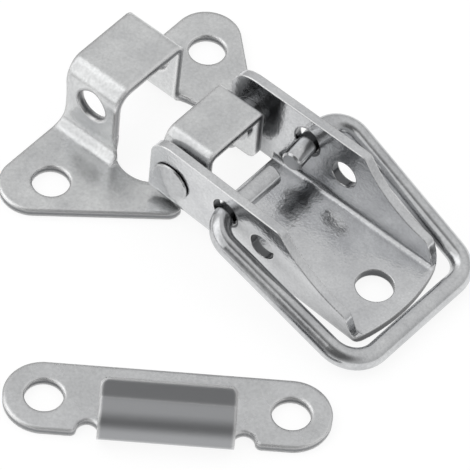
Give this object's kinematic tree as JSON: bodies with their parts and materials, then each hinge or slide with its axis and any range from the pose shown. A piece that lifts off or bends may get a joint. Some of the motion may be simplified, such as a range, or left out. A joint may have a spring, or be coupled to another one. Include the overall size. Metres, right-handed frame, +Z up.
{
  "type": "over centre toggle latch",
  "caption": "Sheet-steel over-centre toggle latch: arched base with pivoting channel lever, wire bail and separate hooked strike plate.",
  "frame": {"origin": "midway between the base's two fixing holes, on the mounting plane", "axes": "+X from the base towards the open lever's tip, +Y towards the lever's right cheek, +Z up, away from the mounting surface"},
  "size_m": [0.0638, 0.0753, 0.0142],
  "materials": {
    "base_plate": "satin bright zinc plate",
    "lever_plate": "bright zinc plate",
    "rivet": "bright zinc plate",
    "wire": "polished zinc plated wire",
    "strike_plate": "satin bright zinc plate"
  },
  "bodies": {
    "base_body": {"base": "base_plate", "rivet_left": "rivet", "rivet_right": "rivet", "strike": "strike_plate"},
    "lever_body": {"lever": "lever_plate"},
    "bail_body": {"bail": "wire"}
  },
  "joints": [
    {"name": "lever_hinge", "type": "hinge", "parent": "base_body", "child": "lever_body", "pos_m": [0.0155, 0, 0.00775], "axis": [0, -1, 0], "range_deg": [0, 178.38]},
    {"name": "bail_hinge", "type": "hinge", "parent": "lever_body", "child": "bail_body", "pos_m": [0.02572, 0, 0.00915], "axis": [0, -1, 0], "range_deg": [-171.15, 0]}
  ],
  "couplings": [
    {"joint": "bail_hinge", "follows": "lever_hinge", "ratio": -0.95667}
  ]
}
